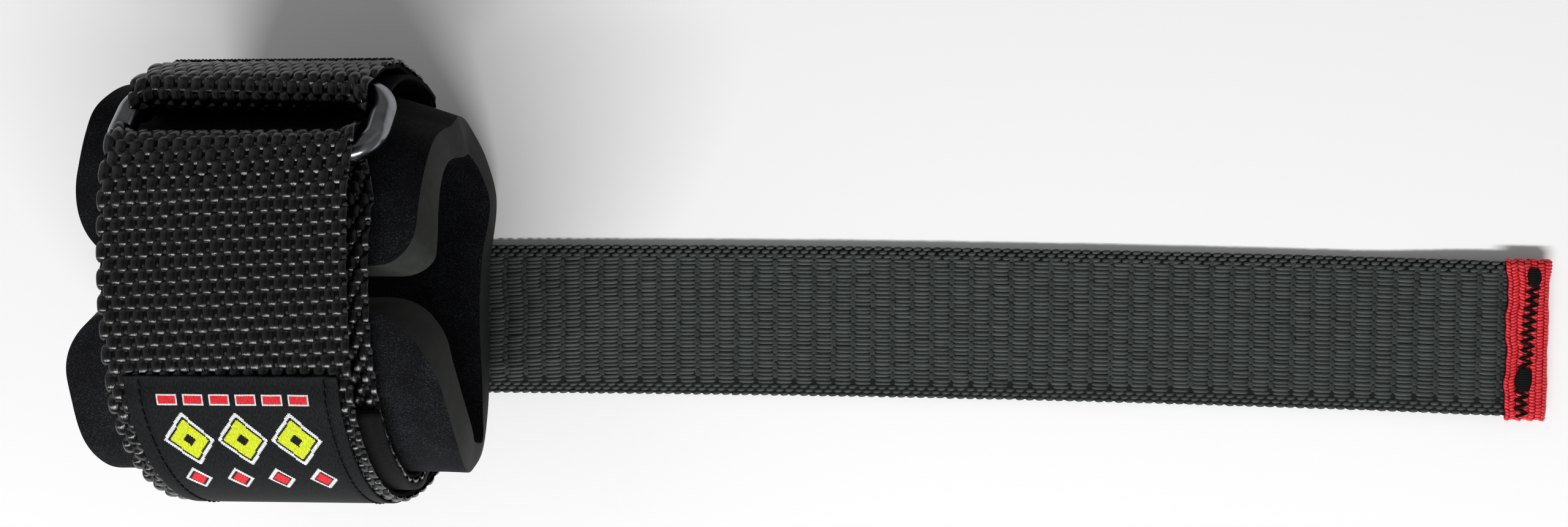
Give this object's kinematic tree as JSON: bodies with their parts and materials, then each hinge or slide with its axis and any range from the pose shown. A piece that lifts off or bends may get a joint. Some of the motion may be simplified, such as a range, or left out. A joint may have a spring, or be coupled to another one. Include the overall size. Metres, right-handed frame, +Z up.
{
  "type": "weightlifting strap",
  "caption": "Padded neoprene wrist cuff closed by webbing through a steel ring, with a long flat lifting tail bound in red tape at its end",
  "frame": {"origin": "under the middle of the cuff, on the underside of the tail, at the level of the surface that the strap lies on", "axes": "+X along the tail and the wrist hollow, +Y towards the ring's side of the cuff, +Z up"},
  "size_m": [0.3344, 0.1004, 0.0753],
  "materials": {
    "neoprene": "8 mm foam rubber with black jersey faces, dark grey at the cut edges",
    "black_webbing": "coarse plain woven webbing, shiny yarn",
    "nickel_ring": "polished nickel-plated steel wire",
    "loop_fastener": "brushed nylon loop pile",
    "woven_label": "black satin-woven label",
    "charcoal_webbing": "flat ribbed webbing, dark charcoal",
    "red_tape": "ribbed red tape with black zigzag stitching"
  },
  "bodies": {
    "root": {"wrist_pad": "neoprene", "wrist_strap": "black_webbing", "ring": "nickel_ring", "loop_patch": "loop_fastener", "label": "woven_label", "tail_strap": "charcoal_webbing", "end_binding": "red_tape"}
  },
  "joints": []
}
